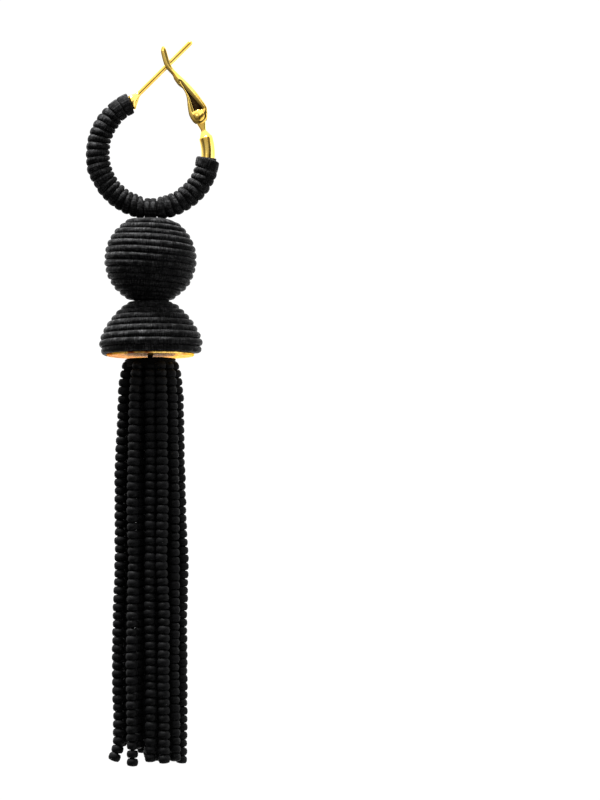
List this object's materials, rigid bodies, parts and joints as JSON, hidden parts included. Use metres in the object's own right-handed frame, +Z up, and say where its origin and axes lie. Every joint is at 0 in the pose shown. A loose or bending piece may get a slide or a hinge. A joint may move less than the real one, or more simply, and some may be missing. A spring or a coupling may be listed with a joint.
{
  "type": "tassel earring",
  "caption": "Drop earring: a cord-wound gold hoop with a hinged lever holds a wound ball, a wound dome on a gold plate and a long tassel of matte black seed beads.",
  "frame": {"origin": "on the axis of the ear post, halfway along the stretch that lies in the ear, where the earring hangs", "axes": "+Z up, +X across the hoop towards its hinge, +Y through the hoop away from its front"},
  "size_m": [0.0227, 0.0176, 0.1249],
  "materials": {
    "gold": "polished gold plate",
    "cord": "silky satin",
    "beads": "opaque matte"
  },
  "bodies": {
    "hoop": {"hoop_frame": "gold", "hinge_rivet": "gold", "hoop_winding_front": "cord", "hoop_winding_rear": "cord"},
    "lever": {"latch_lever": "gold"},
    "drop": {"hanger": "cord", "wound_ball": "cord", "wound_dome": "cord", "base_plate": "gold", "bead_tassel": "beads"}
  },
  "joints": [
    {"name": "lever_hinge", "type": "hinge", "parent": "hoop", "child": "lever", "pos_m": [0.00801, 0, -0.00625], "axis": [0, 1, 0], "range_deg": [0, 70]},
    {"name": "drop_swing", "type": "hinge", "parent": "hoop", "child": "drop", "pos_m": [-0.00034, 0, -0.02227], "axis": [1, 0, 0], "range_deg": [-75, 75]}
  ]
}
